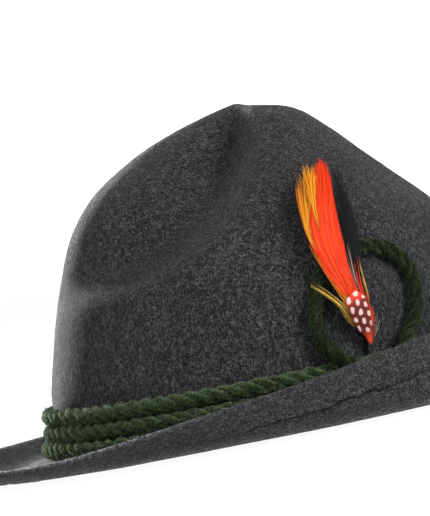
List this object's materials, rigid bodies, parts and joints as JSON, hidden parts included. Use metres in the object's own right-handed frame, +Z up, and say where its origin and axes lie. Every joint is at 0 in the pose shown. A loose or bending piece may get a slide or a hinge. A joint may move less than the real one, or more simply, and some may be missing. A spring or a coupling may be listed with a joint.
{
  "type": "tyrolean hat",
  "caption": "Felt hat with a pinched and creased crown, a brim turned up at the sides and back, a twisted cord band with a loop, and a layered feather plume on the wearer's left.",
  "frame": {"origin": "middle of the footprint, on the surface that the brim rests on", "axes": "-X to the front of the hat, -Y to the wearer's left with the plume, +Z up"},
  "size_m": [0.2926, 0.25, 0.1532],
  "materials": {
    "felt": "mottled charcoal wool felt",
    "cord": "fuzzy twisted wool cord, dark green",
    "feather_black": "soft black feather barbs",
    "feather_yellow": "amber feather barbs",
    "feather_orange": "bright orange feather barbs with a slight sheen",
    "feather_spotted": "dark red-brown feather with pale oval spots"
  },
  "bodies": {
    "root": {"felt_body": "felt", "cord_row_1": "cord", "cord_row_2": "cord", "cord_row_3": "cord", "cord_loop": "cord", "feather_black": "feather_black", "feather_yellow": "feather_yellow", "feather_orange": "feather_orange", "feather_spotted": "feather_spotted"}
  },
  "joints": []
}
